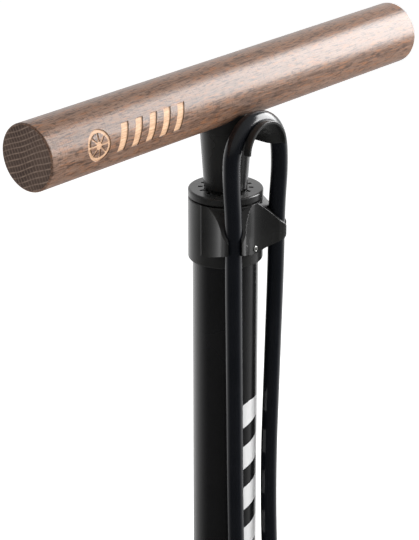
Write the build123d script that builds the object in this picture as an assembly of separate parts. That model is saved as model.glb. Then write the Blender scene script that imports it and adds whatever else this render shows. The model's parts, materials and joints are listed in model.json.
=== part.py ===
from build123d import *
import math
import os

# Floor bike pump, standing closed on its feet.
# Frame: the origin is on the floor under the barrel's axis, +Z is up, X runs along the handle and the
# two foot pads, and the gauge and the hose are in front, towards -Y. All lengths are in millimetres.

# Clearances
seat_gap = 0.05  # pressed, screwed or seated pieces of one body
run_gap = 0.05  # shafts and seals in the bore that guides them
free_gap = 0.3  # faces of pieces that move apart

# Overall sizes
cap_top = 602.0  # floor to the top face of the barrel cap
handle_length = 267.2
base_span = 232.0  # over both foot pads
travel = 495.0  # stroke of the handle

# Barrel, cap and collar
barrel_r = 16.5
barrel_wall = 1.5
barrel_bore_r = barrel_r - barrel_wall
collar_wall = 2.2
cap_r = barrel_r + collar_wall
cap_flange = 3.5
cap_edge = 0.9
cap_plug_length = 18.0
vent_count = 14
vent_width = 1.7
vent_inner_r = 11.4
vent_outer_r = 13.7
collar_gap = 1.0  # shadow line between cap and collar
collar_length = 32.0
collar_edge = 0.6
collar_screw_head = 0.5
collar_screw_r = 1.5
collar_screw_x = 0.9
collar_screw_drop = 28.3  # below the cap top

# Rod and piston
rod_r = 5.0
rod_flat = 4.4  # distance from the axis to the flat that keeps the rod from turning
rod_tail_r = 3.5
rod_above_cap = 26.0
bush_r = 8.0
bush_flange_r = 10.0
bush_flange = 2.0
nut_across = 10.0
nut_height = 5.0
piston_height = 15.0
piston_clear = 0.3
seal_groove_r = 11.0
seal_height = 4.0
bumper_height = 7.0

# Handle and yoke
handle_r = 15.9
handle_edge = 0.9
handle_above_cap = 50.4  # cap top to the dowel's axis
neck_foot_r = 10.8
neck_top_r = 12.9
neck_height = 30.0
cradle_r = 13.6
cradle_height = 10.0
stud_r = 3.0
stud_length = 32.0
insert_r = 5.0
insert_length = 13.0
mark_depth = 0.35
mark_tilt = 6.0  # degrees that the mark faces up from the front
mark_ring_x = -104.0  # centre of the ring of the engraved mark
mark_ring_r = 7.2
mark_ring_band = 1.7
mark_hub_r = 1.9
mark_spoke = 0.9
mark_bars = 5
mark_bar_x = -88.0
mark_bar_pitch = 9.4
mark_bar_width = 4.6
mark_bar_height = 12.4
mark_bar_lean = 2.2

# Hose saddle on the yoke
saddle_r = 14.1
saddle_wall = 1.4
saddle_centre = 25.5  # arch centre above the cap top
saddle_front = 27.0
saddle_root = 6.0
saddle_back_wall = 2.5
saddle_edge = 0.35

# Hose and its clips
hose_r = 4.25
hose_turn_r = 17.5  # bend over the saddle
hose_turn_drop = 4.2  # centre of that bend, below the saddle's centre
hose_front = 18.8  # axis of the hose on the saddle, in front of the barrel's axis
hose_seat_gap = 0.25
saddle_seat_r = hose_turn_r - hose_turn_drop - hose_r - hose_seat_gap  # bottom of the saddle's groove
saddle_groove_r = hose_r + 2 * hose_seat_gap
clip_x = 16.4
clip_y = -19.3
clip_gap = 0.2
clip_wall = 1.5
clip_throat = 6.6
clip_sweep_r = 20.0  # hollow that blends the sleeve into each jaw
clip_tip_top = -18.4  # levels below the cap top
clip_tip_bottom = -25.0
clip_root_bottom = -30.8
clip_tip_r = 2.4
clip_root_inset = 3.0
clip_overlap = 0.3

# Base
foot_height = 4.0
foot_r = 13.0
foot_edge = 0.8
foot_screw_r = 1.8
foot_screw_depth = 6.5
foot_screw_head_r = 4.2
foot_screw_head = 1.9
foot_recess_r = 4.6
foot_recess = 2.6
plate_height = 10.0
plate_wall = 3.5
plate_edge = 4.0
rib_width = 3.0
rib_x = 62.0
wing_r = 24.0
nose_r = 30.0
nose_y = -76.0
tail_r = 34.0
tail_y = 8.0
boss_foot_r = 31.0
boss_top_r = 22.5
boss_top = 88.0
lock_screw_r = 2.0
lock_screw_z = 76.0
socket_floor = 36.0
gasket_height = 2.0
gallery_r = 1.6
gallery_z = 20.0
manifold_r = 23.0
manifold_top = 44.0
manifold_front = -58.0

# Check valve under the barrel
chamber_r = 5.5
chamber_floor = 16.0
valve_seat_height = 5.0
valve_hole_r = 1.8
ball_r = 3.0
ball_lift = 1.5
spring_wire_r = 0.35
spring_r = 2.3
spring_turns = 4

# Gauge
gauge_y = -73.0
gauge_z = 46.0
gauge_tilt = 35.0
gauge_r = 31.0
gauge_depth = 24.0
gauge_wall = 4.0
gauge_floor = 3.0
pedestal_r = 21.0
dial_z = 13.0
dial_thickness = 1.0
needle_z = 15.2
needle_length = 20.0
needle_shaft_r = 0.8
needle_zero = 225.0  # degrees, counter-clockwise from +X on the dial
lens_thickness = 3.0
bezel_wall = 1.6
bezel_lip = 2.0
stem_r = 4.0
movement_r = 10.6
movement_z = 9.0
movement_thickness = 2.0
bourdon_r = 17.0
bourdon_z = 7.0

# Hose fitting on the base
fitting_x = -14.0
fitting_y = -36.0
fitting_hex = 12.0
fitting_hex_height = 9.0
nipple_height = 8.0
thread_length = 11.0
ferrule_base_r = 6.6
ferrule_tip_r = 5.1
ferrule_length = 32.0
ferrule_grip = 14.0
ferrule_grooves = 3

# Pump head and its holder
head_x = 36.0
head_z = 178.0
head_neck_y = -24.0
head_r = 11.5
head_front = -41.0
head_back = -15.0
head_bore_r = 7.05
neck_r = 6.5
neck_top = 196.0
gasket_length = 8.0
gasket_bore_r = 3.9
port_r = 4.2
port_wall = 5.0
cap_nut_r = 13.2
cap_nut_skirt = 6.0
plunger_back = -12.2
plunger_tail_r = 4.6
plunger_waist_r = 4.5
plunger_waist = 8.0
plunger_bore_r = 2.2
lever_y = -7.0
lever_pin_r = 1.6
lever_slot = 10.0
ear_thickness = 3.0
ear_r = 6.0
cam_r = 4.5
cam_offset = 2.0
lever_length = 44.0
lever_thickness = 5.5
holder_bottom = 200.0
holder_height = 12.0
holder_wall = 2.6
holder_split = 2.4
holder_ear = 4.0
holder_ear_reach = 8.0
holder_arm = 6.0
holder_mouth = 11.2
holder_screw_r = 1.6
cradle_wall = 2.2
cradle_gap = 0.15

# Tread pads
pad_thickness = 3.0
pad_recess = 1.5
pad_ridges = 9
pad_pitch = 7.0
pad_ridge_width = 3.4
pad_ridge_height = 1.2

# Levels that follow
plate_bottom = foot_height
plate_top = plate_bottom + plate_height
barrel_bottom = socket_floor + gasket_height
barrel_top = cap_top - cap_flange
plug_bottom = cap_top - cap_plug_length
collar_top = barrel_top - collar_gap
collar_bottom = collar_top - collar_length
handle_z = cap_top + handle_above_cap
yoke_bottom = cap_top + 2 * free_gap
saddle_z = cap_top + saddle_centre
bumper_top = plug_bottom - bush_flange - travel - 2 * free_gap
piston_top = bumper_top - bumper_height
piston_bottom = piston_top - piston_height
rod_bottom = piston_bottom - nut_height
rod_top = cap_top + rod_above_cap
ferrule_bore_r = hose_r + seat_gap
wing_x = base_span / 2 - wing_r
valve_seat_bottom = socket_floor - valve_seat_height
ball_z = valve_seat_bottom - math.sqrt(ball_r**2 - valve_hole_r**2) - seat_gap
fitting_top = manifold_top + fitting_hex_height + nipple_height
hose_end = neck_top + nipple_height


def tube(outer, inner, bottom, top):
    """Upright ring on the Z axis."""
    ring = Circle(outer) - Circle(inner)
    return Pos(0, 0, bottom) * extrude(ring, top - bottom)


def rod(radius, bottom, top):
    """Upright round bar on the Z axis."""
    return Pos(0, 0, bottom) * extrude(Circle(radius), top - bottom)


def cone(lower, upper, bottom, top):
    """Upright taper on the Z axis."""
    height = top - bottom
    return Pos(0, 0, bottom + height / 2) * Cone(lower, upper, height)


def block(x0, x1, y0, y1, z0, z1):
    """Box from its two corners."""
    centre = Pos((x0 + x1) / 2, (y0 + y1) / 2, (z0 + z1) / 2)
    return centre * Box(x1 - x0, y1 - y0, z1 - z0)


def hull(circles):
    """Plan that wraps a list of (x, y, radius) circles."""
    with BuildSketch() as plan:
        for x, y, radius in circles:
            with Locations((x, y)):
                Circle(radius)
        make_hull()
    return plan.sketch


def spin(shape, count):
    """Copies of a shape at equal steps round the Z axis."""
    return [Rot(0, 0, 360 * step / count) * shape for step in range(count)]


def hexagon(across, bottom, height):
    """Upright hexagonal prism, measured across its flats."""
    return Pos(0, 0, bottom) * extrude(RegularPolygon(across / math.sqrt(3), 6), height)


def edges_at(shape, height):
    """Edges that lie level at one height."""
    return shape.edges().filter_by_position(Axis.Z, height - 0.01, height + 0.01)


def screw(head_r, head_height, shank_r, length):
    """Pan-head screw with a cross recess: head above Z = 0, shank below it."""
    head = fillet(edges_at(rod(head_r, 0, head_height), head_height), head_height * 0.4)
    body = head + rod(shank_r, -length, 0)
    recess = head_height * 0.55
    for angle in (0, 90):
        slot = block(-head_r * 0.55, head_r * 0.55, -head_r * 0.12, head_r * 0.12, 0, head_height)
        body -= Pos(0, 0, head_height - recess) * Rot(0, 0, angle) * slot
    return body


def rod_section(gap):
    """Round rod section with one flat, grown by a gap."""
    section = Circle(rod_r + gap)
    flat = Pos(rod_flat + gap + rod_r, 0) * Rectangle(2 * rod_r, 4 * rod_r)
    return section - flat


# ---- Barrel, cap and collar ----


def make_barrel_tube():
    return tube(barrel_r, barrel_bore_r, barrel_bottom, barrel_top)


def make_barrel_gasket():
    return tube(barrel_r, barrel_bore_r - 1.5, socket_floor, barrel_bottom)


def make_barrel_cap():
    flange = rod(cap_r, barrel_top, cap_top)
    flange = fillet(edges_at(flange, cap_top), cap_edge)
    cap = flange + rod(barrel_bore_r - seat_gap, plug_bottom, barrel_top)
    cap -= rod(bush_r + seat_gap, plug_bottom, cap_top)
    slot = block(vent_inner_r, vent_outer_r, -vent_width / 2, vent_width / 2, barrel_top, cap_top)
    flute = block(vent_inner_r, barrel_r, -vent_width / 2, vent_width / 2, plug_bottom, barrel_top)
    for cut in spin(slot, vent_count) + spin(flute, vent_count):
        cap -= cut
    return cap


def make_rod_guide_bush():
    sleeve = rod(bush_r, plug_bottom, cap_top - 2.0)
    flange = rod(bush_flange_r, plug_bottom - bush_flange, plug_bottom)
    bore = Pos(0, 0, plug_bottom - bush_flange) * extrude(rod_section(run_gap), cap_plug_length + bush_flange)
    return sleeve + flange - bore


def clip_plan(reach, outer):
    """Plan of one clip on +X: sleeve and hose ring, joined by hollow sides."""
    plan = hull([(0, 0, cap_r - clip_overlap), (reach, 0, outer)])
    side = outer + clip_sweep_r
    centre = math.sqrt((cap_r + clip_sweep_r) ** 2 - side**2)
    for turn in (-1, 1):
        plan -= Pos(centre, turn * side) * Circle(clip_sweep_r)
    return plan


def clip_profile(root, tip):
    """Side view of one clip: it slopes out from the collar's top to a blunt tip and back in below."""
    outline = Polyline(
        (-1, collar_top - cap_top),
        (root, collar_top - cap_top),
        (tip, clip_tip_top),
        (tip, clip_tip_bottom),
        (root, clip_root_bottom),
        (-1, clip_root_bottom),
        close=True,
    )
    profile = make_face(outline)
    corners = profile.vertices().filter_by_position(Axis.X, tip - 0.01, tip + 0.01)
    return fillet(corners, clip_tip_r)


def clip_wing(side):
    """One hose clip: an ear on the sleeve with a throat that opens outwards."""
    reach = math.hypot(clip_x, clip_y)
    turn = math.degrees(math.atan2(clip_y, side * clip_x))
    ring_r = hose_r + clip_gap
    outer = ring_r + clip_wall
    tip = reach + math.sqrt(outer**2 - (clip_throat / 2) ** 2)
    side_view = Plane.XZ * clip_profile(cap_r - clip_root_inset, tip)
    ear = extrude(clip_plan(reach, outer), -2 * collar_length) & extrude(side_view, cap_r, both=True)
    ear -= extrude(Pos(reach, 0) * Circle(ring_r), -2 * collar_length)
    throat = Pos(reach + outer, 0) * Rectangle(2 * outer, clip_throat)
    ear -= extrude(throat, -2 * collar_length)
    return Pos(0, 0, cap_top) * Rot(0, 0, turn) * ear


def make_hose_clip_collar():
    sleeve = rod(cap_r, collar_bottom, collar_top)
    sleeve = fillet(edges_at(sleeve, collar_top) + edges_at(sleeve, collar_bottom), collar_edge)
    sleeve += clip_wing(-1)
    sleeve += clip_wing(1)
    sleeve -= rod(barrel_r + seat_gap, collar_bottom - 1, collar_top + 1)
    return sleeve - collar_screw_place() * rod(collar_screw_r, -cap_r, cap_r)


def collar_screw_place():
    """Placement whose +Z points out of the front of the collar."""
    return Pos(collar_screw_x, 0, cap_top - collar_screw_drop) * Rot(90, 0, 0) * Pos(0, 0, cap_r)


def make_collar_screw():
    body = rod(collar_screw_r, barrel_r + 2 * seat_gap - cap_r, collar_screw_head)
    body = fillet(edges_at(body, collar_screw_head), 0.8 * collar_screw_head)
    socket = hexagon(collar_screw_r, collar_screw_head - 1, 1)
    return collar_screw_place() * (body - socket)


# ---- Rod and piston ----


def make_piston_rod():
    upper = Pos(0, 0, piston_top) * extrude(rod_section(0), rod_top - piston_top)
    lower = rod(rod_tail_r, rod_bottom, piston_top)
    lower = chamfer(edges_at(lower, rod_bottom), 0.5)
    return upper + lower - rod(stud_r, rod_top - stud_length / 2, rod_top)


def make_piston_body():
    body = rod(barrel_bore_r - piston_clear, piston_bottom, piston_top)
    body = chamfer(edges_at(body, piston_bottom) + edges_at(body, piston_top), 0.6)
    middle = (piston_bottom + piston_top) / 2
    groove = tube(barrel_bore_r, seal_groove_r, middle - seal_height / 2, middle + seal_height / 2)
    return body - groove - rod(rod_tail_r + seat_gap, piston_bottom, piston_top)


def make_piston_seal():
    middle = (piston_bottom + piston_top) / 2
    half = seal_height / 2 - seat_gap
    return tube(barrel_bore_r - run_gap, seal_groove_r + seat_gap, middle - half, middle + half)


def make_piston_nut():
    return hexagon(nut_across, rod_bottom + 0.5, nut_height - 0.5) - rod(rod_tail_r, rod_bottom, piston_bottom)


def make_top_bumper():
    ring = tube(bush_flange_r, rod_r + seat_gap, piston_top, bumper_top)
    return fillet(edges_at(ring, bumper_top), 1.2)


# ---- Handle and yoke ----


def handle_round(radius, length):
    """Bar along X on the handle's axis."""
    return Pos(0, 0, handle_z) * Rot(0, 90, 0) * Cylinder(radius, length)


def mark_ring():
    """Ring with spokes, drawn flat about its centre."""
    ring = Circle(mark_ring_r) - Circle(mark_ring_r - mark_ring_band)
    for angle in range(0, 180, 45):
        ring += Rot(0, 0, angle) * Rectangle(2 * mark_ring_r - mark_ring_band, mark_spoke)
    return ring + Circle(mark_hub_r)


def mark_bar():
    """Leaning bar, drawn flat about its centre."""
    half_width = mark_bar_width / 2
    half_height = mark_bar_height / 2
    outline = Polyline(
        (-half_width - mark_bar_lean, -half_height),
        (half_width - mark_bar_lean, -half_height),
        (half_width + mark_bar_lean, half_height),
        (-half_width + mark_bar_lean, half_height),
        close=True,
    )
    return make_face(outline)


def mark_cutter():
    """Shallow engraving on the front of the dowel's left half: a spoked ring and a row of leaning bars."""
    tilt = math.radians(mark_tilt)
    facing = (0, -math.cos(tilt), math.sin(tilt))
    shell = handle_round(handle_r + 1, handle_length) - handle_round(handle_r - mark_depth, handle_length)
    cutters = []
    stamps = [(mark_ring_x, mark_ring())]
    for step in range(mark_bars):
        stamps.append((mark_bar_x + step * mark_bar_pitch, mark_bar()))
    for x, stamp in stamps:
        face = Plane(origin=(x, 0, handle_z), x_dir=(1, 0, 0), z_dir=facing)
        cutters.append(extrude(face * stamp, handle_r + 2) & shell)
    return cutters


def make_handle_grip():
    dowel = handle_round(handle_r, handle_length)
    dowel = fillet(dowel.edges().filter_by(GeomType.CIRCLE), handle_edge)
    for cutter in mark_cutter():
        dowel -= cutter
    hole_top = handle_z - handle_r + insert_length + 4
    return dowel - rod(insert_r + seat_gap, handle_z - handle_r - 1, hole_top)


def make_handle_insert():
    bottom = handle_z - handle_r + 1.0
    return tube(insert_r, stud_r + seat_gap, bottom, bottom + insert_length)


def make_handle_stud():
    bar = rod(stud_r, rod_top - stud_length / 2 + 0.5, rod_top + stud_length / 2)
    return chamfer(edges_at(bar, rod_top + stud_length / 2), 0.5)


def level_y(shape, y):
    """Edges that lie in one plane across Y."""
    return shape.edges().filter_by_position(Axis.Y, y - 0.01, y + 0.01)


def saddle_turning(inset, root, front):
    """Solid turned about the saddle's axis: hose seat, groove and front lip, all pulled in by an inset."""
    seat = saddle_seat_r - inset
    lip = saddle_r - inset
    groove = saddle_groove_r + inset
    rise = lip - saddle_seat_r - saddle_groove_r
    reach = math.sqrt(groove**2 - rise**2)
    sweep_angle = 90 + math.degrees(math.atan2(rise, reach))
    arc = CenterArc((hose_front, saddle_seat_r + saddle_groove_r), groove, -90, sweep_angle)
    lines = Polyline((hose_front + reach, lip), (front, lip), (front, 0), (root, 0), (root, seat), arc @ 0)
    section = make_face([arc, lines])
    plane = Plane(origin=(0, 0, saddle_z), x_dir=(0, -1, 0), z_dir=(-1, 0, 0))
    return revolve(plane * section, Axis((0, 0, saddle_z), (0, -1, 0)), 360)


def make_saddle():
    """Hose saddle: the upper half of a grooved, flared shell that juts forward, closed by a wall at its root."""
    outer = saddle_turning(0, saddle_root, saddle_front)
    outer = fillet(level_y(outer, -saddle_front), saddle_edge)
    inner = saddle_turning(saddle_wall, saddle_root + saddle_back_wall, saddle_front + 1)
    half = block(-2 * saddle_r, 2 * saddle_r, -2 * saddle_front, 0, saddle_z, saddle_z + 2 * saddle_r)
    return (outer - inner) & half


def make_handle_yoke():
    block_bottom = yoke_bottom + neck_height
    cradle = rod(cradle_r, block_bottom, block_bottom + cradle_height)
    cradle = fillet(edges_at(cradle, block_bottom), 0.6)
    neck = cone(neck_foot_r, neck_top_r, yoke_bottom, block_bottom)
    yoke = neck + cradle + make_saddle()
    yoke -= handle_round(handle_r + seat_gap, handle_length + 10)
    yoke -= Pos(0, 0, yoke_bottom) * extrude(rod_section(seat_gap), rod_top + 0.2 - yoke_bottom)
    return yoke - rod(stud_r + seat_gap, rod_top, handle_z)


# ---- Base ----


def base_circles(inset=0.0):
    """Circles whose hull is the base's plan."""
    return [
        (-wing_x, 0, wing_r - inset),
        (wing_x, 0, wing_r - inset),
        (0, nose_y, nose_r - inset),
        (0, tail_y, tail_r - inset),
    ]


def foot_places():
    """Plan positions of the screwed feet."""
    return [(-wing_x, 0), (wing_x, 0), (0, nose_y)]


def gauge_place():
    """Plane on the back of the gauge: +Z is out of its face, +Y is up the dial."""
    tilt = math.radians(gauge_tilt)
    return Plane(origin=(0, gauge_y, gauge_z), x_dir=(1, 0, 0), z_dir=(0, -math.sin(tilt), math.cos(tilt)))


def gallery_end():
    """Y where the gauge's stem bore meets the level of the gallery."""
    drop = gauge_z - gallery_z
    return gauge_y + drop * math.tan(math.radians(gauge_tilt))


def pad_plan(side, inset=0.0):
    """Plan of one tread pad."""
    return hull([(side * wing_x, 0, wing_r - 6 - inset), (side * (wing_x - 34), -2, wing_r - 2 - inset)])


def make_base_moulding():
    plate = Pos(0, 0, plate_bottom) * extrude(hull(base_circles()), plate_height)
    plate = fillet(edges_at(plate, plate_top), plate_edge)
    hollow = Pos(0, 0, plate_bottom) * extrude(hull(base_circles(plate_wall)), plate_height - plate_wall)
    base = plate - hollow
    ceiling = plate_top - plate_wall / 2
    ribs = block(-wing_x, wing_x, -rib_width / 2, rib_width / 2, plate_bottom, ceiling)
    ribs += block(-rib_width / 2, rib_width / 2, nose_y, tail_y + tail_r - plate_wall, plate_bottom, ceiling)
    cross_rib = block(-rib_width / 2, rib_width / 2, nose_y, tail_r, plate_bottom, ceiling)
    for side in (-1, 1):
        ribs += Pos(side * rib_x, 0, 0) * cross_rib
    ribs &= Pos(0, 0, plate_bottom) * extrude(hull(base_circles(1)), plate_height)
    base += ribs
    for x, y in foot_places():
        base += Pos(x, y, 0) * rod(foot_r - 2, plate_bottom, ceiling)
    base += rod(boss_foot_r - 2, plate_bottom, plate_top)
    boss = cone(boss_foot_r, boss_top_r, plate_top - 1, boss_top)
    base += fillet(edges_at(boss, boss_top), 2.0)
    manifold_plan = hull([(0, 0, manifold_r), (0, manifold_front, manifold_r - 3)])
    manifold = Pos(0, 0, plate_bottom) * extrude(manifold_plan, manifold_top - plate_bottom)
    base += fillet(edges_at(manifold, manifold_top), 3.0)
    pedestal = gauge_place() * Pos(0, 0, -70) * extrude(Circle(pedestal_r), 70)
    base += pedestal & block(-60, 60, -140, 60, plate_top - 2, 200)
    for side in (-1, 1):
        base -= Pos(0, 0, plate_top - pad_recess) * extrude(pad_plan(side), pad_recess + 10)
    base -= rod(barrel_r + seat_gap, socket_floor, boss_top)
    base -= rod(chamber_r + seat_gap, chamber_floor, socket_floor)
    base -= Pos(0, 0, gallery_z) * Rot(90, 0, 0) * rod(gallery_r, 0, -gallery_end())
    base -= Pos(0, fitting_y, gallery_z) * Rot(0, -90, 0) * rod(gallery_r, 0, -fitting_x)
    base -= Pos(fitting_x, fitting_y, 0) * rod(gallery_r, gallery_z, manifold_top)
    base -= Pos(fitting_x, fitting_y, 0) * rod(stem_r, manifold_top - thread_length - 1, manifold_top)
    base -= gauge_place() * rod(gallery_r, -(gauge_z - gallery_z) / math.cos(math.radians(gauge_tilt)), 0)
    base -= gauge_place() * rod(stem_r, -thread_length - 1, 0)
    for x, y in foot_places():
        base -= Pos(x, y, 0) * rod(foot_screw_r, plate_bottom, plate_bottom + foot_screw_depth)
    for place in lock_screw_places():
        base -= place * rod(lock_screw_r, barrel_r, boss_foot_r)
    return base


def lock_screw_places():
    """Placements at the two sides of the boss: +Z points outwards."""
    return [Pos(0, 0, lock_screw_z) * Rot(0, turn, 0) for turn in (-90, 90)]


def make_barrel_lock_screws():
    screws = []
    for place in lock_screw_places():
        body = rod(lock_screw_r, barrel_r + 0.1, boss_top_r) - hexagon(2.0, boss_top_r - 2, 2)
        screws.append(place * body)
    return screws


def make_rubber_feet():
    feet = []
    for x, y in foot_places():
        foot = rod(foot_r, 0, foot_height)
        foot = chamfer(edges_at(foot, 0), foot_edge)
        foot -= rod(foot_recess_r, 0, foot_recess)
        foot -= rod(foot_screw_r + 2 * seat_gap, foot_recess, foot_height)
        feet.append(Pos(x, y, 0) * foot)
    feet.append(chamfer(edges_at(rod(foot_r, 0, foot_height), 0), foot_edge))
    return feet


def make_foot_screws():
    shank = foot_screw_depth + foot_height - foot_recess - 0.5
    body = Rot(180, 0, 0) * screw(foot_screw_head_r, foot_screw_head, foot_screw_r, shank)
    return [Pos(x, y, foot_recess) * body for x, y in foot_places()]


def make_tread_pad(side):
    bottom = plate_top - pad_recess
    pad = Pos(0, 0, bottom) * extrude(pad_plan(side, seat_gap), pad_thickness)
    pad = fillet(edges_at(pad, bottom + pad_thickness), 0.8)
    inner = extrude(pad_plan(side, 2.5), plate_top + 20)
    first = side * (wing_x + wing_r - 14)
    for step in range(pad_ridges):
        x = first - side * step * pad_pitch
        ridge = block(
            x - pad_ridge_width / 2,
            x + pad_ridge_width / 2,
            -40,
            40,
            bottom + pad_thickness - 0.5,
            bottom + pad_thickness + pad_ridge_height,
        )
        pad += ridge & inner
    return pad


# ---- Check valve ----


def make_check_valve_seat():
    return tube(chamber_r, valve_hole_r, valve_seat_bottom, socket_floor)


def make_check_valve_ball():
    return Pos(0, 0, ball_z) * Sphere(ball_r)


def make_check_valve_spring():
    bottom = chamber_floor + spring_wire_r + seat_gap
    top = ball_z - math.sqrt((ball_r + spring_wire_r) ** 2 - spring_r**2) - 0.15
    path = Pos(0, 0, bottom) * Helix(pitch=(top - bottom) / spring_turns, height=top - bottom, radius=spring_r)
    start = Plane(origin=path @ 0, z_dir=path % 0)
    return sweep(start * Circle(spring_wire_r), path)


# ---- Gauge ----


def make_gauge_housing():
    shell = fillet(edges_at(rod(gauge_r, 0, gauge_depth), 0), 3.0)
    shell -= rod(gauge_r - gauge_wall, gauge_floor, gauge_depth)
    shell -= rod(gauge_r - gauge_wall + 1.5, gauge_depth - lens_thickness, gauge_depth)
    return gauge_place() * (shell - rod(stem_r, 0, gauge_floor))


def make_gauge_stem():
    spigot = rod(stem_r - seat_gap, -thread_length, gauge_floor)
    head = block(-6, 6, -5, 5, gauge_floor, gauge_floor + 3)
    bore = rod(gallery_r, -thread_length, gauge_floor + 1.5)
    return gauge_place() * (spigot + head - bore)


def make_gauge_bourdon_tube():
    arc = CenterArc((0, 0, bourdon_z), bourdon_r, -60, 270)
    coil = sweep(Plane(origin=arc @ 0, z_dir=arc % 0) * Ellipse(1.2, 2.4), arc)
    foot = Pos(bourdon_r * math.cos(math.radians(-60)), bourdon_r * math.sin(math.radians(-60)), 0)
    post = foot * rod(2.2, gauge_floor, bourdon_z)
    return gauge_place() * (coil + post)


def make_gauge_movement():
    plate = rod(movement_r, movement_z, movement_z + movement_thickness)
    for turn in (90, 210, 330):
        post = Rot(0, 0, turn) * Pos(movement_r - 1.6, 0, 0)
        plate += post * rod(1.2, gauge_floor, dial_z - dial_thickness)
    return gauge_place() * (plate - rod(needle_shaft_r + run_gap, movement_z, movement_z + movement_thickness))


def make_gauge_dial():
    disc = rod(gauge_r - gauge_wall - seat_gap, dial_z - dial_thickness, dial_z)
    return gauge_place() * (disc - rod(needle_shaft_r + 0.5, dial_z - dial_thickness, dial_z))


def make_gauge_needle():
    hub = fillet(edges_at(rod(3.0, needle_z - 0.8, needle_z + 1.2), needle_z + 1.2), 0.5)
    shaft = rod(needle_shaft_r, 7, needle_z)
    outline = Polyline(
        (-7, -1.3),
        (0, -1.1),
        (needle_length, -0.3),
        (needle_length, 0.3),
        (0, 1.1),
        (-7, 1.3),
        close=True,
    )
    pointer = Pos(0, 0, needle_z - 0.4) * extrude(make_face(outline), 0.8)
    return gauge_place() * Rot(0, 0, needle_zero) * (hub + shaft + pointer)


def make_gauge_lens():
    disc = rod(gauge_r - gauge_wall + 1.5 - seat_gap, gauge_depth - lens_thickness, gauge_depth)
    return gauge_place() * disc


def make_gauge_bezel():
    outer = gauge_r + bezel_wall
    ring = rod(outer, gauge_depth - 8, gauge_depth + bezel_lip)
    ring = fillet(edges_at(ring, gauge_depth + bezel_lip), 1.4)
    ring -= rod(gauge_r + seat_gap, gauge_depth - 8, gauge_depth)
    mouth = cone(gauge_r - gauge_wall - 0.5, gauge_r - gauge_wall + 0.8, gauge_depth, gauge_depth + bezel_lip)
    return gauge_place() * (ring - mouth)


# ---- Hose and fittings ----


def make_base_hose_fitting():
    body = hexagon(fitting_hex, manifold_top, fitting_hex_height)
    body += rod(stem_r - seat_gap, manifold_top - thread_length, manifold_top)
    body += rod(hose_r, manifold_top, fitting_top)
    body -= rod(gallery_r, manifold_top - thread_length, fitting_top)
    return Pos(fitting_x, fitting_y, 0) * body


def ferrule(bottom):
    """Tapered sleeve over the end of the hose."""
    body = rod(ferrule_base_r, bottom, bottom + ferrule_grip)
    body += cone(ferrule_base_r, ferrule_tip_r, bottom + ferrule_grip, bottom + ferrule_length)
    for step in range(ferrule_grooves):
        level = bottom + 3 + 3.5 * step
        body -= tube(ferrule_base_r + 1, ferrule_base_r - 0.5, level, level + 1.2)
    return body - rod(ferrule_bore_r, bottom, bottom + ferrule_length)


def make_hose_ferrule_base():
    return Pos(fitting_x, fitting_y, 0) * ferrule(manifold_top + fitting_hex_height + 0.1)


def make_hose_ferrule_head():
    return Pos(head_x, head_neck_y, 0) * ferrule(neck_top + 0.1)


# Route of the hose, from the fitting on the base, over the saddle and down to the pump head.
bend_z = saddle_z - hose_turn_drop
bend_corner = hose_turn_r * math.tan(math.radians(22.5))
hose_points = [
    (fitting_x, fitting_y, fitting_top),
    (fitting_x, fitting_y, 128.0),
    (-13.0, -29.5, 222.0),
    (-12.0, -21.3, 325.0),
    (-13.0, -18.5, 425.0),
    (-14.9, -18.9, 510.0),
    (-clip_x, clip_y, 565.0),
    (-clip_x, clip_y, 593.0),
    (-18.4, -19.3, 613.0),
    (-hose_turn_r, -hose_front, bend_z + bend_corner),
    (-bend_corner, -hose_front, bend_z + hose_turn_r),
    (bend_corner, -hose_front, bend_z + hose_turn_r),
    (hose_turn_r, -hose_front, bend_z + bend_corner),
    (18.4, -19.3, 613.0),
    (clip_x, clip_y, 593.0),
    (clip_x, clip_y, 565.0),
    (14.9, -18.9, 510.0),
    (13.0, -18.5, 440.0),
    (14.2, -20.5, 370.0),
    (23.5, -22.5, 305.0),
    (33.5, -24.2, 262.0),
    (head_x, head_neck_y, 236.0),
    (head_x, head_neck_y, hose_end),
]


def make_hose():
    points = [Vector(*point) for point in hose_points]
    runs = [(after - before).length for before, after in zip(points, points[1:])]
    radii = []
    for index in range(1, len(points) - 1):
        before = points[index] - points[index - 1]
        after = points[index + 1] - points[index]
        half_turn = math.radians(before.get_angle(after)) / 2
        radii.append(0.45 * min(runs[index - 1], runs[index]) / math.tan(half_turn))
    path = FilletPolyline(*points, radius=radii)
    start = Plane(origin=path @ 0, z_dir=path % 0)
    return sweep(start * Circle(hose_r), path)


# ---- Pump head and its holder ----


def head_place():
    """Placement on the head's axis: +Z points out of the valve port, towards -Y."""
    return Pos(head_x, 0, head_z) * Rot(90, 0, 0)


def along_head(radius, back, front):
    """Round bar on the head's axis between two Y positions."""
    return head_place() * rod(radius, -back, -front)


def make_head_body():
    body = along_head(head_r, head_back, head_front)
    body = chamfer(level_y(body, head_back), 1.0)
    neck = Pos(head_x, head_neck_y, 0) * rod(neck_r, head_z, neck_top)
    nipple = Pos(head_x, head_neck_y, 0) * rod(hose_r, head_z, hose_end)
    body += neck + nipple
    reach = lever_slot / 2 + ear_thickness
    for side in (-1, 1):
        inner = side * lever_slot / 2
        outer = side * reach
        low = min(inner, outer) + head_x
        high = max(inner, outer) + head_x
        ear = block(low, high, head_back - 4, lever_y, head_z - ear_r, head_z + ear_r)
        ear += Pos((low + high) / 2, lever_y, head_z) * Rot(0, 90, 0) * Cylinder(ear_r, ear_thickness)
        body += ear
    body -= along_head(head_bore_r, head_back, head_front)
    body -= Pos(head_x, 0, head_z) * block(-lever_slot / 2, lever_slot / 2, head_back, 0, -head_r, head_r)
    body -= Pos(head_x, head_neck_y, 0) * rod(gallery_r, head_z + 3, hose_end)
    return body - Pos(head_x, lever_y, head_z) * Rot(0, 90, 0) * Cylinder(lever_pin_r, 4 * reach)


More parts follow.
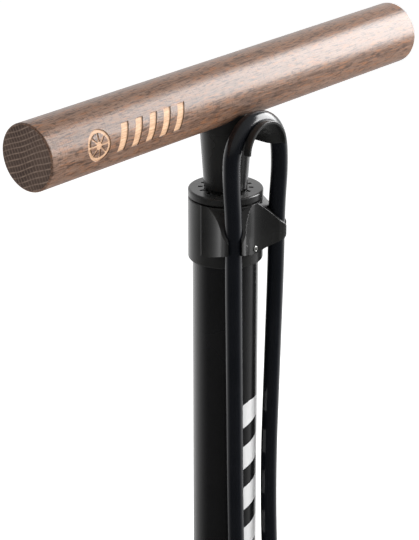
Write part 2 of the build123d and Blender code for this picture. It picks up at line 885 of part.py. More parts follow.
def make_head_gasket():
    ring = along_head(head_bore_r - seat_gap, head_front + gasket_length, head_front)
    return ring - along_head(gasket_bore_r, head_front + gasket_length, head_front)


def make_head_plunger():
    front = head_front + gasket_length + free_gap
    body = along_head(head_bore_r - run_gap, plunger_back, front)
    waist_back = head_neck_y + plunger_waist / 2
    waist_front = head_neck_y - plunger_waist / 2
    waist = along_head(head_bore_r, waist_back, waist_front)
    body -= waist - along_head(plunger_waist_r, waist_back, waist_front)
    tail = along_head(head_bore_r, plunger_back, head_back - 1)
    body -= tail - along_head(plunger_tail_r, plunger_back, head_back - 1)
    body -= along_head(plunger_bore_r, head_neck_y + 2, front)
    return body - Pos(head_x, head_neck_y, head_z) * Cylinder(gallery_r - 0.4, 2 * head_bore_r)


def make_head_cap_nut():
    front = head_front - port_wall
    body = along_head(cap_nut_r, head_front + cap_nut_skirt, front)
    body = fillet(level_y(body, front), 1.5)
    ridge = Pos(cap_nut_r, 0, -head_front - cap_nut_skirt / 2) * Cylinder(0.7, cap_nut_skirt)
    for rib in spin(ridge, 16):
        body += head_place() * rib
    body -= along_head(head_r + seat_gap, head_front + cap_nut_skirt, head_front)
    return body - along_head(port_r, head_front, front)


def make_head_lever_pin():
    reach = lever_slot / 2 + ear_thickness + 0.6
    return Pos(head_x, lever_y, head_z) * Rot(0, 90, 0) * Cylinder(lever_pin_r, 2 * reach)


def make_head_lever():
    width = lever_slot - 2 * free_gap
    side = Plane(origin=(head_x - width / 2, lever_y, head_z), x_dir=(0, 1, 0), z_dir=(1, 0, 0))
    half = lever_thickness / 2
    arm = Polyline(
        (-half, 0),
        (half, 0),
        (half, -lever_length * 0.6),
        (half + 5, -lever_length),
        (half + 2.5, -lever_length - 1.5),
        (-half, -lever_length * 0.7),
        close=True,
    )
    body = extrude(side * make_face(arm), width)
    body += extrude(side * (Pos(0, cam_offset) * Circle(cam_r)), width)
    body += extrude(side * Circle(lever_pin_r + 2.2), width)
    return body - Pos(head_x, lever_y, head_z) * Rot(0, 90, 0) * Cylinder(lever_pin_r + run_gap, 2 * width)


def make_head_holder():
    top = holder_bottom + holder_height
    outer = barrel_r + holder_wall
    reach = math.hypot(head_x, head_neck_y)
    turn = math.degrees(math.atan2(head_neck_y, head_x))
    grip_r = ferrule_base_r + cradle_gap
    split = holder_split / 2
    body = rod(outer, holder_bottom, top)
    arm = block(0, reach, -holder_arm / 2, holder_arm / 2, holder_bottom, top)
    arm += Pos(reach, 0, 0) * rod(grip_r + cradle_wall, holder_bottom, top)
    body += Rot(0, 0, turn) * arm
    ears = split + holder_ear
    body += block(-ears, ears, barrel_r, outer + holder_ear_reach, holder_bottom, top)
    body -= block(-split, split, 0, outer + holder_ear_reach + 1, holder_bottom, top)
    body -= rod(barrel_r + seat_gap, holder_bottom, top)
    mouth = block(reach, reach + 20, -holder_mouth / 2, holder_mouth / 2, holder_bottom, top)
    body -= Rot(0, 0, turn) * (Pos(reach, 0, 0) * rod(grip_r, holder_bottom, top) + mouth)
    return body - holder_screw_place() * rod(holder_screw_r, -20, 5)


def holder_screw_place():
    """Placement at the right ear of the clamp: +Z points outwards, along +X."""
    x = holder_split / 2 + holder_ear
    y = barrel_r + holder_wall + holder_ear_reach / 2
    return Pos(x, y, holder_bottom + holder_height / 2) * Rot(0, 90, 0)


def make_holder_screw():
    return holder_screw_place() * screw(3.2, 2.2, holder_screw_r, 10.2)


pieces = {
    "barrel_tube": make_barrel_tube,
    "barrel_gasket": make_barrel_gasket,
    "barrel_cap": make_barrel_cap,
    "barrel_lock_screws": make_barrel_lock_screws,
    "rod_guide_bush": make_rod_guide_bush,
    "hose_clip_collar": make_hose_clip_collar,
    "collar_screw": make_collar_screw,
    "piston_rod": make_piston_rod,
    "piston_body": make_piston_body,
    "piston_seal": make_piston_seal,
    "piston_nut": make_piston_nut,
    "top_bumper": make_top_bumper,
    "handle_grip": make_handle_grip,
    "handle_insert": make_handle_insert,
    "handle_stud": make_handle_stud,
    "handle_yoke": make_handle_yoke,
    "base_moulding": make_base_moulding,
    "rubber_feet": make_rubber_feet,
    "foot_screws": make_foot_screws,
    "tread_pad_left": lambda: make_tread_pad(-1),
    "tread_pad_right": lambda: make_tread_pad(1),
    "check_valve_seat": make_check_valve_seat,
    "check_valve_ball": make_check_valve_ball,
    "check_valve_spring": make_check_valve_spring,
    "gauge_housing": make_gauge_housing,
    "gauge_stem": make_gauge_stem,
    "gauge_bourdon_tube": make_gauge_bourdon_tube,
    "gauge_movement": make_gauge_movement,
    "gauge_dial": make_gauge_dial,
    "gauge_needle": make_gauge_needle,
    "gauge_lens": make_gauge_lens,
    "gauge_bezel": make_gauge_bezel,
    "base_hose_fitting": make_base_hose_fitting,
    "hose_ferrule_base": make_hose_ferrule_base,
    "hose_ferrule_head": make_hose_ferrule_head,
    "hose": make_hose,
    "head_body": make_head_body,
    "head_gasket": make_head_gasket,
    "head_plunger": make_head_plunger,
    "head_cap_nut": make_head_cap_nut,
    "head_lever_pin": make_head_lever_pin,
    "head_lever": make_head_lever,
    "head_holder": make_head_holder,
    "holder_screw": make_holder_screw,
}

os.makedirs("parts", exist_ok=True)
for name, make in pieces.items():
    made = make()
    shape = Compound(children=list(made)) if isinstance(made, list) else made
    export_step(shape, "parts/" + name + ".step")
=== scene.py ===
import json
import math

import bmesh
import bpy
from mathutils import Matrix, Vector


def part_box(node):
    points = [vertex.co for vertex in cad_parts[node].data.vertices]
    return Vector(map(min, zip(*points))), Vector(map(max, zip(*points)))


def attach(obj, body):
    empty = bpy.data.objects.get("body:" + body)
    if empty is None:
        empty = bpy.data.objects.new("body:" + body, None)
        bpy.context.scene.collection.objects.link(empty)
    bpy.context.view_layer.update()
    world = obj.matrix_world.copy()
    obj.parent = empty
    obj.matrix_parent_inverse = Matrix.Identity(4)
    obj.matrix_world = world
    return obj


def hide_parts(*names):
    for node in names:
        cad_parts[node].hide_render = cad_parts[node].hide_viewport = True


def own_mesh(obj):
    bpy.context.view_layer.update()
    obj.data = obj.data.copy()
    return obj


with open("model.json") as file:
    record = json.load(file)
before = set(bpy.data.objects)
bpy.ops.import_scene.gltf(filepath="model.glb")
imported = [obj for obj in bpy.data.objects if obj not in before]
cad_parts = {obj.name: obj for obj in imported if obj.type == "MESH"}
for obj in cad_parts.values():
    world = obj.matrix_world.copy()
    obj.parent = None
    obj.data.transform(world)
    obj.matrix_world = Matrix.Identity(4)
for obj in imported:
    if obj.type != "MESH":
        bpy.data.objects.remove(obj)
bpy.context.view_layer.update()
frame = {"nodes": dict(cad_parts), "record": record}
nodes = frame["nodes"]
scene = bpy.context.scene

MM = 0.001
CAP_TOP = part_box("barrel_cap")[1].z
HANDLE_LOW, HANDLE_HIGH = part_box("handle_grip")
HANDLE_R = (HANDLE_HIGH.z - HANDLE_LOW.z) / 2
HANDLE_Z = (HANDLE_HIGH.z + HANDLE_LOW.z) / 2
BARREL_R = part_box("barrel_tube")[1].x
BARREL_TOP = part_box("barrel_tube")[1].z


# ---- Camera ----

VIEW_TURN = math.radians(48.72)  # from straight in front, towards -X
VIEW_LIFT = math.radians(22.58)
CAMERA_FROM_CAP = Vector((-0.7106, -0.6132, 0.3458))
LENS = 134.9  # mm, on a 36 mm sensor


def make_camera():
    """Long lens from the front left, a little above, aimed at the top of the pump."""
    level = math.cos(VIEW_LIFT)
    back = Vector((-math.sin(VIEW_TURN) * level, -math.cos(VIEW_TURN) * level, math.sin(VIEW_LIFT)))
    data = bpy.data.cameras.new("camera")
    data.lens = LENS
    data.sensor_width = 36.0
    data.clip_start = 0.05
    camera = bpy.data.objects.new("camera", data)
    camera.rotation_mode = "QUATERNION"
    camera.rotation_quaternion = back.to_track_quat("Z", "Y")
    camera.location = Vector((0, 0, CAP_TOP)) + CAMERA_FROM_CAP
    scene.collection.objects.link(camera)
    scene.camera = camera


make_camera()


# ---- Pieces that give way ----

JOINTS = {row["name"]: row for row in frame["record"]["behaviour"]["joints"]}


def yielding_copy(node, name):
    """A copy of a soft CAD piece with a mesh of its own, held to the pump body in place of the hidden node.
    """
    piece = bpy.data.objects.new(name, nodes[node].data.copy())
    piece.matrix_world = nodes[node].matrix_world.copy()
    scene.collection.objects.link(piece)
    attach(piece, "pump_body")
    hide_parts(node)
    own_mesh(piece)
    return piece


chuck_gasket = yielding_copy("head_gasket", "chuck_gasket")
valve_spring = yielding_copy("check_valve_spring", "valve_spring")
yielding = {"head_gasket": chuck_gasket, "check_valve_spring": valve_spring}


# ---- Hose ----

HOSE_R = 4.25 * MM
BEND_R = 17.5
BEND_Z = 623.3
CORNER = BEND_R * math.tan(math.radians(22.5))
HOSE_POINTS = [
    (-14.0, -36.0, 61.0),
    (-14.0, -36.0, 128.0),
    (-13.0, -29.5, 222.0),
    (-12.0, -21.3, 325.0),
    (-13.0, -18.5, 425.0),
    (-14.9, -18.9, 510.0),
    (-16.4, -19.3, 565.0),
    (-16.4, -19.3, 593.0),
    (-18.4, -19.3, 613.0),
    (-BEND_R, -18.8, BEND_Z + CORNER),
    (-CORNER, -18.8, BEND_Z + BEND_R),
    (CORNER, -18.8, BEND_Z + BEND_R),
    (BEND_R, -18.8, BEND_Z + CORNER),
    (18.4, -19.3, 613.0),
    (16.4, -19.3, 593.0),
    (16.4, -19.3, 565.0),
    (14.9, -18.9, 510.0),
    (13.0, -18.5, 440.0),
    (14.2, -20.5, 370.0),
    (23.5, -22.5, 305.0),
    (33.5, -24.2, 262.0),
    (36.0, -24.0, 236.0),
    (36.0, -24.0, 204.0),
]


def make_hose():
    """The hose as one smooth round curve along its route."""
    curve = bpy.data.curves.new("rubber_hose", "CURVE")
    curve.dimensions = "3D"
    curve.resolution_u = 16
    curve.bevel_depth = 1.0  # times each point's radius, which the curve's box takes in as it is
    curve.bevel_resolution = 10
    curve.use_fill_caps = True
    spline = curve.splines.new("NURBS")
    spline.points.add(len(HOSE_POINTS) - 1)
    for point, place in zip(spline.points, HOSE_POINTS):
        point.co = (*[value * MM for value in place], 1.0)
        point.radius = HOSE_R
    spline.order_u = 3
    spline.use_endpoint_u = True
    hose = bpy.data.objects.new("rubber_hose", curve)
    scene.collection.objects.link(hose)
    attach(hose, "pump_body")
    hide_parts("hose")
    return hose


hose = make_hose()


# ---- Materials ----

EDGE_R = 0.35 * MM


class Shader:
    """A material's node tree, with short calls for the nodes that it uses."""

    def __init__(self, name, **surface):
        self.material = bpy.data.materials.new(name)
        self.material.use_nodes = True
        self.tree = self.material.node_tree
        self.tree.nodes.clear()
        output = self.tree.nodes.new("ShaderNodeOutputMaterial")
        self.surface = self.tree.nodes.new("ShaderNodeBsdfPrincipled")
        self.tree.links.new(self.surface.outputs[0], output.inputs[0])
        self.set(self.surface, surface)
        self.place = self.node("TexCoord").outputs["Object"]

    def set(self, node, values):
        for key, value in values.items():
            name = key if isinstance(key, int) else key.replace("_", " ")
            socket = node.inputs[name]
            if isinstance(value, bpy.types.NodeSocket):
                self.tree.links.new(value, socket)
            elif isinstance(value, tuple) and len(value) == 3 and socket.type == "RGBA":
                socket.default_value = (*value, 1.0)
            else:
                socket.default_value = value

    def node(self, kind, inputs=None, **settings):
        made = self.tree.nodes.new("ShaderNode" + kind)
        for key, value in settings.items():
            setattr(made, key, value)
        self.set(made, inputs or {})
        return made

    def math(self, operation, first, second=0.0, third=0.0):
        values = {0: first, 1: second}
        if operation in ("MULTIPLY_ADD", "SMOOTH_MIN", "SMOOTH_MAX", "COMPARE"):
            values[2] = third
        return self.node("Math", values, operation=operation).outputs[0]

    def ramp(self, value, low, high, start=0.0, end=1.0):
        """Value mapped from low..high to start..end, eased and held outside."""
        inputs = {"Value": value, 1: low, 2: high, 3: start, 4: end}
        return self.node("MapRange", inputs, interpolation_type="SMOOTHSTEP").outputs[0]

    def scaled(self, scale, offset=(0, 0, 0)):
        """The place, stretched along each axis."""
        inputs = {"Vector": self.place, "Scale": scale, "Location": offset}
        return self.node("Mapping", inputs).outputs[0]

    def noise(self, vector, scale=1.0, detail=2.0, roughness=0.5):
        inputs = {"Vector": vector, "Scale": scale, "Detail": detail, "Roughness": roughness}
        return self.node("TexNoise", inputs).outputs["Fac"]

    def lines(self, coordinate, pitch, drift):
        """Thin lines about a pitch apart, wandering with a noise."""
        turn = self.math("MULTIPLY_ADD", drift, 9.0, self.math("MULTIPLY", coordinate, 2 * math.pi / pitch))
        return self.ramp(self.math("SINE", turn), 0.6, 0.95)

    def mix(self, share, first, second):
        """Colour between two colours."""
        made = self.node("Mix", data_type="RGBA")
        self.set(made, {0: share, 6: first, 7: second})
        return made.outputs[2]

    def bump(self, height, distance, edge=EDGE_R):
        """Surface relief over softened edges."""
        soft = self.node("Bevel", {"Radius": edge}, samples=4).outputs[0]
        inputs = {"Height": height, "Distance": distance, "Normal": soft}
        self.tree.links.new(self.node("Bump", inputs).outputs[0], self.surface.inputs["Normal"])

    def paint(self, color=None, roughness=None):
        if color is not None:
            self.set(self.surface, {"Base Color": color})
        if roughness is not None:
            self.set(self.surface, {"Roughness": roughness})


def moulded(name, dark, light, roughness, grain=2200.0, relief=0.00002):
    """Moulded plastic or rubber: fine surface grain, faint mottling and uneven gloss."""
    made = Shader(name, IOR=1.5)
    grain_noise = made.noise(made.place, grain, 2.0)
    cloud = made.noise(made.place, 45.0, 3.0)
    made.paint(
        made.mix(made.ramp(cloud, 0.35, 0.7), dark, light),
        made.math("ADD", made.math("MULTIPLY", cloud, 0.12), roughness - 0.06),
    )
    made.bump(grain_noise, relief)
    return made.material


def metal(name, color, roughness, stretch=(3000.0, 3000.0, 120.0), relief=0.000004):
    """Bare metal with fine tool marks."""
    made = Shader(name, Metallic=1.0)
    marks = made.noise(made.scaled(stretch), 1.0, 3.0)
    made.paint(
        made.mix(made.ramp(marks, 0.3, 0.7), tuple(c * 0.85 for c in color), color),
        made.math("MULTIPLY_ADD", marks, 0.16, roughness - 0.06),
    )
    made.bump(marks, relief)
    return made.material


def wood():
    """Stained dowel: grain along X with dark and rusty flecks, and fine rays across it."""
    made = Shader("stained_wood", IOR=1.5)
    bands = made.noise(made.scaled((3.0, 130.0, 130.0)), 1.0, 4.0, 0.6)
    fibre = made.noise(made.scaled((70.0, 1400.0, 1400.0)), 1.0, 3.0, 0.7)
    flecks = made.noise(made.scaled((230.0, 1500.0, 1500.0), (5, 2, 1)), 1.0, 2.0)
    rust = made.noise(made.scaled((150.0, 900.0, 900.0), (1, 7, 3)), 1.0, 2.5)
    rays = made.noise(made.scaled((1900.0, 260.0, 260.0), (3, 1, 2)), 1.0, 1.0)
    color = made.mix(made.ramp(bands, 0.3, 0.7), (0.112, 0.060, 0.038), (0.215, 0.124, 0.082))
    color = made.mix(made.ramp(fibre, 0.35, 0.75, 0.0, 0.6), color, (0.34, 0.215, 0.155))
    color = made.mix(made.ramp(rust, 0.50, 0.68, 0.0, 0.75), color, (0.30, 0.130, 0.058))
    color = made.mix(made.ramp(flecks, 0.50, 0.66, 0.0, 0.8), color, (0.045, 0.023, 0.015))
    color = made.mix(made.ramp(rays, 0.60, 0.70, 0.0, 0.5), color, (0.045, 0.024, 0.017))
    made.paint(color, made.math("MULTIPLY_ADD", fibre, 0.24, 0.22))
    pores = made.math("MULTIPLY_ADD", flecks, -0.7, fibre)
    made.bump(made.math("MULTIPLY_ADD", rays, 0.8, pores), 0.00005)
    return made.material


def bare_wood():
    """Unstained wood on the floor of the engraving."""
    made = Shader("bare_wood", IOR=1.5)
    fibre = made.noise(made.scaled((120.0, 1500.0, 1500.0)), 1.0, 3.0, 0.7)
    made.paint(
        made.mix(made.ramp(fibre, 0.3, 0.7), (0.50, 0.28, 0.15), (0.78, 0.50, 0.31)),
        made.math("MULTIPLY_ADD", fibre, 0.2, 0.45),
    )
    made.bump(fibre, 0.00004)
    return made.material


RAY_PITCH = 2.5 * MM
RING_PITCH = 1.9 * MM
RAY_SLANT = math.radians(24.0)


def end_grain():
    """Sawn end of the dowel: dark, with a fine grid of rays across the growth rings, at a slant."""
    made = Shader("end_grain", IOR=1.5, Roughness=0.6)
    wobble = made.noise(made.scaled((0.0, 60.0, 60.0)), 1.0, 2.0)
    inputs = {"Vector": made.place, "Rotation": (RAY_SLANT, 0.0, 0.0)}
    turned = made.node("Mapping", inputs).outputs[0]
    parts = made.node("SeparateXYZ", {0: turned}).outputs
    drift = made.noise(made.scaled((0.0, 45.0, 45.0), (1, 2, 3)), 1.0, 1.0)
    patches = made.noise(made.scaled((0.0, 260.0, 260.0), (4, 1, 6)), 1.0, 1.0)
    rays = made.lines(parts[2], RAY_PITCH, drift)
    rings = made.lines(parts[1], RING_PITCH, wobble)
    color = made.mix(made.ramp(wobble, 0.3, 0.7), (0.060, 0.033, 0.023), (0.100, 0.060, 0.043))
    ring_share = made.math("MULTIPLY", rings, made.ramp(patches, 0.25, 0.7, 0.25, 0.9))
    ray_share = made.math("MULTIPLY", rays, made.ramp(patches, 0.25, 0.7, 0.9, 0.35))
    color = made.mix(ring_share, color, (0.235, 0.155, 0.115))
    color = made.mix(ray_share, color, (0.31, 0.215, 0.160))
    made.paint(color)
    made.bump(rings, 0.00003)
    return made.material


BLOCKS_BELOW_CAP = 112.0 * MM
BLOCKS_LENGTH = 165.0 * MM
BLOCK_PITCH = 24.0 * MM
BLOCK_SHARE = 0.55  # of the pitch that is white
BLOCK_HALF_WIDTH = 8.5 * MM
BLOCK_SLANT = 0.35


def barrel_paint():
    """Black enamel with a run of generic white blocks down its front."""
    made = Shader("barrel_enamel", IOR=1.5, Coat_Weight=0.3, Coat_Roughness=0.12)
    peel = made.noise(made.place, 500.0, 1.0)
    parts = made.node("SeparateXYZ", {0: made.place}).outputs
    angle = made.math("ARCTAN2", parts[0], made.math("MULTIPLY", parts[1], -1.0))
    across = made.math("MULTIPLY", angle, BARREL_R)
    down = made.math("SUBTRACT", CAP_TOP - BLOCKS_BELOW_CAP, parts[2])
    slanted = made.math("MULTIPLY_ADD", across, BLOCK_SLANT, down)
    step = made.math("FRACT", made.math("MULTIPLY", slanted, 1 / BLOCK_PITCH))
    stripe = made.math("LESS_THAN", step, BLOCK_SHARE)
    width = made.math("LESS_THAN", made.math("ABSOLUTE", across), BLOCK_HALF_WIDTH)
    begin = made.math("GREATER_THAN", down, 0.0)
    end = made.math("LESS_THAN", down, BLOCKS_LENGTH)
    mask = made.math("MULTIPLY", made.math("MULTIPLY", stripe, width), made.math("MULTIPLY", begin, end))
    cloud = made.noise(made.place, 30.0, 2.0)
    black = made.mix(cloud, (0.006, 0.006, 0.0065), (0.010, 0.010, 0.0105))
    made.paint(made.mix(mask, black, (0.72, 0.72, 0.72)), made.math("MULTIPLY_ADD", cloud, 0.08, 0.22))
    made.bump(peel, 0.000006)
    return made.material


def hose_rubber():
    """Smooth extruded rubber with faint lines along it."""
    made = Shader("hose_rubber", IOR=1.5)
    lines = made.noise(made.scaled((900.0, 900.0, 14.0)), 1.0, 3.0)
    cloud = made.noise(made.place, 60.0, 3.0)
    made.paint(
        made.mix(cloud, (0.004, 0.005, 0.007), (0.009, 0.010, 0.013)),
        made.math("MULTIPLY_ADD", cloud, 0.10, 0.14),
    )
    made.bump(lines, 0.00001)
    return made.material


def clear():
    """Clear plastic of the gauge's window."""
    made = Shader("clear_window", IOR=1.45, Alpha=0.06)
    haze = made.noise(made.place, 120.0, 2.0)
    made.paint((0.95, 0.97, 0.98), made.math("MULTIPLY_ADD", haze, 0.05, 0.02))
    return made.material


def printed(name, dark, light, grain, spread, roughness, ior):
    """Print or paint with a fine uneven tone and gloss."""
    made = Shader(name, IOR=ior)
    fine = made.noise(made.place, grain, 2.0)
    made.paint(made.mix(fine, dark, light), made.math("MULTIPLY_ADD", fine, spread, roughness))
    return made.material


slot_materials = {
    "wood": wood(),
    "black_plastic": moulded(
        "satin_black_plastic", (0.014, 0.014, 0.014), (0.021, 0.021, 0.020), 0.26, 2200.0, 0.000008
    ),
    "painted_steel": barrel_paint(),
    "hose_rubber": hose_rubber(),
    "chromed_steel": metal("chromed_steel", (0.80, 0.80, 0.81), 0.10),
    "steel": metal("zinc_plated_steel", (0.62, 0.62, 0.60), 0.28),
    "brass": metal("brass", (0.75, 0.52, 0.22), 0.26),
    "bush_plastic": moulded("natural_plastic", (0.60, 0.58, 0.50), (0.70, 0.68, 0.60), 0.42),
    "soft_rubber": moulded(
        "soft_rubber", (0.014, 0.014, 0.014), (0.024, 0.024, 0.024), 0.62, 1500.0, 0.00004
    ),
    "tread_rubber": moulded(
        "tread_rubber", (0.022, 0.022, 0.023), (0.040, 0.040, 0.041), 0.66, 1300.0, 0.00005
    ),
    "base_plastic": moulded(
        "base_plastic", (0.014, 0.014, 0.015), (0.024, 0.024, 0.025), 0.46, 1100.0, 0.00007
    ),
    "head_plastic": moulded(
        "head_plastic", (0.016, 0.016, 0.017), (0.026, 0.026, 0.027), 0.40, 1600.0, 0.00004
    ),
    "lever_plastic": moulded("lever_plastic", (0.20, 0.20, 0.205), (0.26, 0.26, 0.265), 0.36),
    "dial_face": printed("dial_white", (0.82, 0.82, 0.79), (0.90, 0.90, 0.87), 900.0, 0.1, 0.4, 1.45),
    "needle_paint": printed("needle_red", (0.42, 0.012, 0.008), (0.62, 0.03, 0.02), 1500.0, 0.15, 0.28, 1.5),
    "clear_lens": clear(),
    "bezel_metal": metal("bezel_metal", (0.60, 0.60, 0.61), 0.30),
}
node_slots = {row["node"]: row["material_slot"] for row in frame["record"]["subparts"]}


def paint_nodes():
    """Each CAD node, and each piece that stands for one, takes its slot's material."""
    for name, node in nodes.items():
        node.data.materials.clear()
        node.data.materials.append(slot_materials[node_slots[name]])
    hose.data.materials.append(slot_materials["hose_rubber"])
    for name, piece in yielding.items():
        piece.data.materials.clear()
        piece.data.materials.append(slot_materials[node_slots[name]])


END_ZONE = 1.5 * MM
ENGRAVED = 0.3 * MM  # a face deeper than this is the floor of the engraving


def paint_dowel():
    """The dowel's two flat ends take the end-grain material, and the engraving's floor is bare wood."""
    mesh = nodes["handle_grip"].data
    mesh.materials.append(end_grain())
    mesh.materials.append(bare_wood())
    depths = [HANDLE_R - math.hypot(corner.co.y, corner.co.z - HANDLE_Z) for corner in mesh.vertices]
    for face in mesh.polygons:
        at_end = abs(face.center.x) > HANDLE_HIGH.x - END_ZONE
        if at_end and abs(face.normal.x) > 0.98:
            face.material_index = 1
        elif not at_end and min(depths[index] for index in face.vertices) > ENGRAVED:
            face.material_index = 2


paint_nodes()
paint_dowel()


# ---- Dial ----

DIAL_ZERO = 225.0  # degrees, counter-clockwise from +X on the dial
DIAL_SWEEP = 270.0
DIAL_STEPS = 32
STEPS_PER_NUMBER = 4
VALUE_PER_NUMBER = 20
PRINT_LOW, PRINT_HIGH = -0.02 * MM, 0.05 * MM
NUMBER_SIZE = 4.4 * MM
NUMBER_R = 16.4 * MM
TICK_R = 24.0 * MM
NUMBER_TICK = (0.35 * MM, 3.4 * MM)  # half-width and length
PLAIN_TICK = (0.18 * MM, 2.0 * MM)
SCALE_WIDTH = 0.45 * MM


def raised(shape, outlines):
    """Thin flat prints, each from an outline in the dial's plane."""
    for outline in outlines:
        low = [shape.verts.new((x, y, PRINT_LOW)) for x, y in outline]
        high = [shape.verts.new((x, y, PRINT_HIGH)) for x, y in outline]
        shape.faces.new(high)
        shape.faces.new(low[::-1])
        for index in range(len(outline)):
            after = (index + 1) % len(outline)
            shape.faces.new((low[index], low[after], high[after], high[index]))


def dial_ticks():
    """Outline of each tick, longer and wider where a number stands."""
    for step in range(DIAL_STEPS + 1):
        angle = math.radians(DIAL_ZERO - DIAL_SWEEP * step / DIAL_STEPS)
        half_width, length = PLAIN_TICK if step % STEPS_PER_NUMBER else NUMBER_TICK
        along = Vector((math.cos(angle), math.sin(angle)))
        side = Vector((-along.y, along.x)) * half_width
        inner = along * (TICK_R - length)
        outer = along * TICK_R
        yield inner - side, outer - side, outer + side, inner + side


def dial_arc():
    """The line that joins the ticks, in short pieces."""
    pieces = 3 * DIAL_STEPS
    turns = [math.radians(DIAL_ZERO - DIAL_SWEEP * index / pieces) for index in range(pieces + 1)]
    inner = [Vector((math.cos(turn), math.sin(turn))) * TICK_R for turn in turns]
    outer = [point * (1 + SCALE_WIDTH / TICK_R) for point in inner]
    yield inner + outer[::-1]


def number_mesh(number, angle):
    """One number of the dial, upright at its angle."""
    text = bpy.data.curves.new("number", "FONT")
    text.body = str(number)
    text.size = NUMBER_SIZE
    text.align_x = "CENTER"
    text.align_y = "CENTER"
    text.extrude = (PRINT_HIGH - PRINT_LOW) / 2
    carrier = bpy.data.objects.new("number", text)
    mesh = bpy.data.meshes.new_from_object(carrier)
    height = (PRINT_HIGH + PRINT_LOW) / 2
    mesh.transform(Matrix.Translation((NUMBER_R * math.cos(angle), NUMBER_R * math.sin(angle), height)))
    bpy.data.objects.remove(carrier)
    bpy.data.curves.remove(text)
    return mesh


def make_dial_marks():
    """Ticks and plain numbers printed on the gauge's dial."""
    joint = JOINTS["gauge_needle_hinge"]
    across = Vector((1, 0, 0))
    out = -Vector(joint["axis"])
    up = out.cross(across)
    face = max(corner.co.dot(out) for corner in nodes["gauge_dial"].data.vertices)
    centre = Vector(joint["pos_m"])
    centre += (face - centre.dot(out)) * out
    shape = bmesh.new()
    raised(shape, dial_ticks())
    raised(shape, dial_arc())
    for index in range(DIAL_STEPS // STEPS_PER_NUMBER + 1):
        angle = math.radians(DIAL_ZERO - DIAL_SWEEP * index * STEPS_PER_NUMBER / DIAL_STEPS)
        number = number_mesh(index * VALUE_PER_NUMBER, angle)
        shape.from_mesh(number)
        bpy.data.meshes.remove(number)
    mesh = bpy.data.meshes.new("dial_marks")
    bmesh.ops.recalc_face_normals(shape, faces=shape.faces)
    shape.to_mesh(mesh)
    shape.free()
    place = Matrix((across, up, out)).transposed().to_4x4()
    mesh.transform(Matrix.Translation(centre) @ place)
    marks = bpy.data.objects.new("dial_marks", mesh)
    scene.collection.objects.link(marks)
    black = printed("dial_print", (0.010, 0.010, 0.012), (0.022, 0.022, 0.025), 1500.0, 0.1, 0.4, 1.45)
    mesh.materials.append(black)
    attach(marks, "pump_body")


make_dial_marks()


# ---- Studio ----

FLOOR = 6.0  # half its width
BACK_LIGHT = 1.2  # strengths of the world behind, in front and above
FRONT_LIGHT = 0.04
TOP_LIGHT = 0.4
WALL_TOP = 0.2  # how much of the bright wall is left high above it, and low under it
WALL_FOOT = 0.3


def make_floor():
    """Plain white paper that glows a little and isn't mirrored in the pump."""
    mesh = bpy.data.meshes.new("floor")
    corners = [(-FLOOR, -FLOOR, 0), (FLOOR, -FLOOR, 0), (FLOOR, FLOOR, 0), (-FLOOR, FLOOR, 0)]
    mesh.from_pydata(corners, [], [(0, 1, 2, 3)])
    floor = bpy.data.objects.new("floor", mesh)
    scene.collection.objects.link(floor)
    made = Shader("floor_paper", Roughness=0.9, IOR=1.4, Emission_Color=(1, 1, 1), Emission_Strength=0.6)
    made.paint(made.mix(made.noise(made.place, 3.0), (0.90, 0.90, 0.90), (0.93, 0.93, 0.93)))
    mesh.materials.append(made.material)
    floor.visible_glossy = False


def area_light(name, away, reach, upright, size, power):
    """Softbox in one direction from the top of the pump, its long side along an upright axis."""
    data = bpy.data.lights.new(name, "AREA")
    data.shape = "RECTANGLE"
    data.size, data.size_y = size
    data.energy = power
    light = bpy.data.objects.new(name, data)
    z = Vector(away).normalized()
    y = (Vector(upright) - Vector(upright).dot(z) * z).normalized()
    turn = Matrix((y.cross(z), y, z)).transposed()
    light.matrix_world = Matrix.Translation(Vector((0, 0, CAP_TOP)) + reach * z) @ turn.to_4x4()
    scene.collection.objects.link(light)


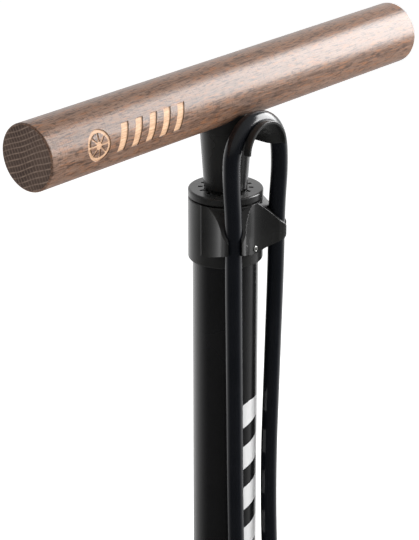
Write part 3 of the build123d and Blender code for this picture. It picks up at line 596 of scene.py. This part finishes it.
def ramp_world(tree, direction, axis, limits):
    """Share of a direction along an axis, eased between two limits to two strengths."""
    share = tree.nodes.new("ShaderNodeVectorMath")
    share.operation = "DOT_PRODUCT"
    share.inputs[1].default_value = axis
    tree.links.new(direction, share.inputs[0])
    fade = tree.nodes.new("ShaderNodeMapRange")
    fade.interpolation_type = "SMOOTHSTEP"
    tree.links.new(share.outputs["Value"], fade.inputs["Value"])
    for slot, value in enumerate(limits, start=1):
        fade.inputs[slot].default_value = value
    return fade.outputs[0]


def joined(tree, operation, first, second):
    """Result of a sum on two outputs of the world's nodes."""
    made = tree.nodes.new("ShaderNodeMath")
    made.operation = operation
    tree.links.new(first, made.inputs[0])
    tree.links.new(second, made.inputs[1])
    return made.outputs[0]


def make_world():
    """White to the eye. As a light it is a bright wall behind the pump that fades to dim in front."""
    world = bpy.data.worlds.new("studio")
    world.use_nodes = True
    tree = world.node_tree
    tree.nodes.clear()
    output = tree.nodes.new("ShaderNodeOutputWorld")
    background = tree.nodes.new("ShaderNodeBackground")
    tree.links.new(background.outputs[0], output.inputs[0])
    background.inputs["Color"].default_value = (1.0, 1.0, 1.0, 1.0)
    direction = tree.nodes.new("ShaderNodeTexCoord").outputs["Generated"]
    into_view = (math.sin(VIEW_TURN), math.cos(VIEW_TURN), 0.0)
    upwards = (0.0, 0.0, 1.0)
    away = ramp_world(tree, direction, into_view, (-0.45, 0.9, FRONT_LIGHT, BACK_LIGHT))
    wall = ramp_world(tree, direction, upwards, (0.38, 0.6, 1.0, WALL_TOP))
    foot = ramp_world(tree, direction, upwards, (-0.62, -0.42, WALL_FOOT, 1.0))
    above = ramp_world(tree, direction, upwards, (-0.05, 0.5, 0.0, TOP_LIGHT))
    behind = joined(tree, "MULTIPLY", joined(tree, "MULTIPLY", away, wall), foot)
    light = joined(tree, "MAXIMUM", behind, above)
    eye = tree.nodes.new("ShaderNodeLightPath").outputs["Is Camera Ray"]
    pick = tree.nodes.new("ShaderNodeMix")
    tree.links.new(eye, pick.inputs[0])
    tree.links.new(light, pick.inputs[2])
    pick.inputs[3].default_value = 1.0
    tree.links.new(pick.outputs[0], background.inputs["Strength"])
    scene.world = world


make_floor()
make_world()
area_light(
    "softbox", away=(0.83, -0.42, 0.37), reach=1.0, upright=(0, 0.50, 0.47), size=(0.7, 0.9), power=24.0
)
scene.view_settings.view_transform = "Standard"
